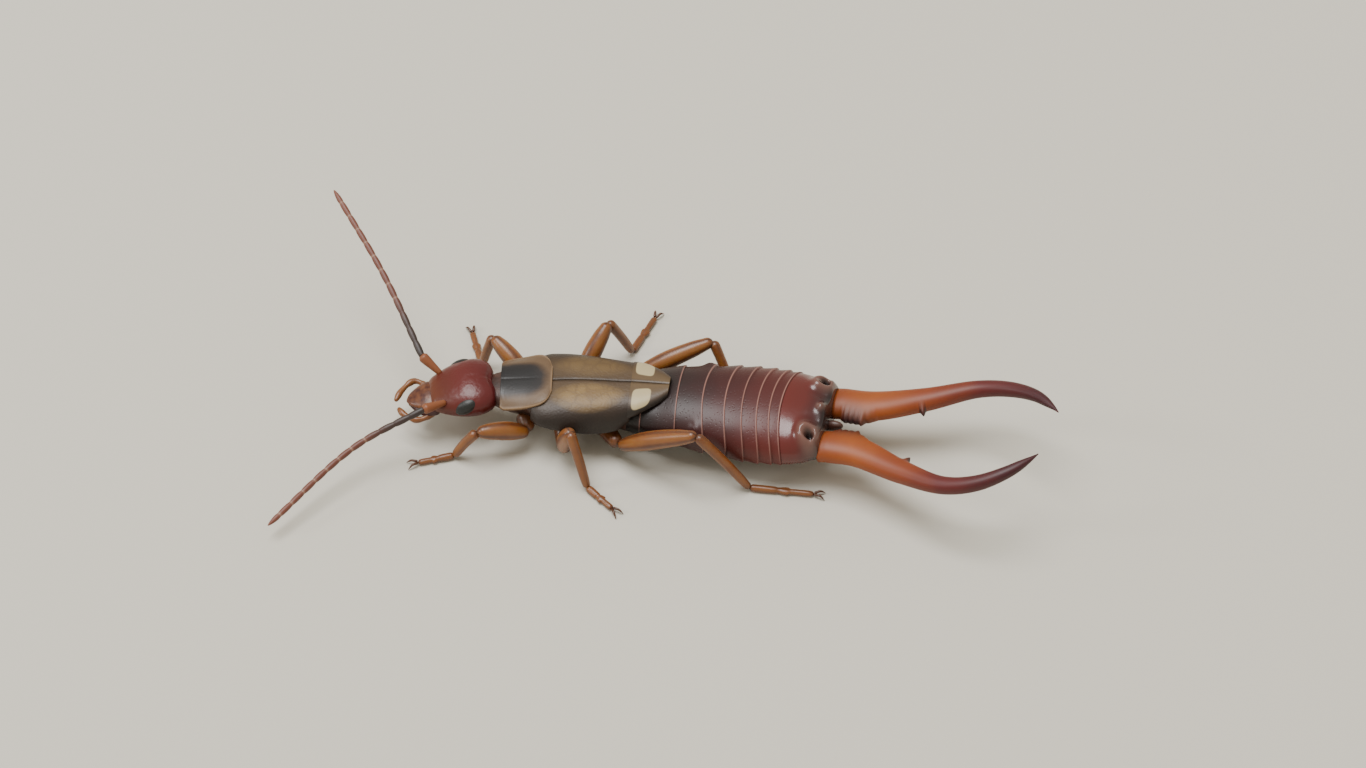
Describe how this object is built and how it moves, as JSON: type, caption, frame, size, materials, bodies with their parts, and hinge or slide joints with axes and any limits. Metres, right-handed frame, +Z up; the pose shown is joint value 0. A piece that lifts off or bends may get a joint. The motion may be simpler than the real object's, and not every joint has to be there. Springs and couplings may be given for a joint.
{
  "type": "earwig",
  "caption": "Life-size male earwig standing still, with short wing covers, a banded abdomen and long curved pincers raised a little behind.",
  "frame": {"origin": "on the floor under the middle of the animal's bounding box", "axes": "+Z up from the floor, +X from the head towards the tips of the pincers, -Y to the animal's left"},
  "size_m": [0.0252, 0.0118, 0.0043],
  "materials": {
    "head_cuticle": "glossy, smooth",
    "mouth_cuticle": "satin",
    "compound_eye": "finely faceted, satin",
    "leg_cuticle": "satin, a little translucent",
    "antenna_cuticle": "satin, short down",
    "pronotum_cuticle": "satin with paler translucent sides",
    "thorax_cuticle": "satin",
    "wing_cover": "leathery, satin",
    "wing_tip": "thin, satin",
    "abdomen_cuticle": "glossy with fine pits",
    "pincer_cuticle": "glossy, darker to the tips"
  },
  "bodies": {
    "root": {"head": "head_cuticle", "mouth": "mouth_cuticle", "eye_left": "compound_eye", "eye_right": "compound_eye", "antenna_left_scape": "leg_cuticle", "antenna_right_scape": "leg_cuticle", "antenna_left_whip": "antenna_cuticle", "antenna_right_whip": "antenna_cuticle", "palp_left": "leg_cuticle", "palp_right": "leg_cuticle", "pronotum": "pronotum_cuticle", "prothorax": "thorax_cuticle", "thorax": "thorax_cuticle", "tegmen_left": "wing_cover", "tegmen_right": "wing_cover", "wing_tip_left": "wing_tip", "wing_tip_right": "wing_tip", "abdomen_front": "abdomen_cuticle", "abdomen_rear": "abdomen_cuticle", "last_tergite": "abdomen_cuticle", "pygidium": "abdomen_cuticle", "pincer_left": "pincer_cuticle", "pincer_right": "pincer_cuticle", "leg_front_left_coxa": "leg_cuticle", "leg_front_left_femur": "leg_cuticle", "leg_front_left_tibia": "leg_cuticle", "leg_front_left_foot": "leg_cuticle", "leg_front_right_coxa": "leg_cuticle", "leg_front_right_femur": "leg_cuticle", "leg_front_right_tibia": "leg_cuticle", "leg_front_right_foot": "leg_cuticle", "leg_middle_left_coxa": "leg_cuticle", "leg_middle_left_femur": "leg_cuticle", "leg_middle_left_tibia": "leg_cuticle", "leg_middle_left_foot": "leg_cuticle", "leg_middle_right_coxa": "leg_cuticle", "leg_middle_right_femur": "leg_cuticle", "leg_middle_right_tibia": "leg_cuticle", "leg_middle_right_foot": "leg_cuticle", "leg_hind_left_coxa": "leg_cuticle", "leg_hind_left_femur": "leg_cuticle", "leg_hind_left_tibia": "leg_cuticle", "leg_hind_left_foot": "leg_cuticle", "leg_hind_right_coxa": "leg_cuticle", "leg_hind_right_femur": "leg_cuticle", "leg_hind_right_tibia": "leg_cuticle", "leg_hind_right_foot": "leg_cuticle"}
  },
  "joints": []
}
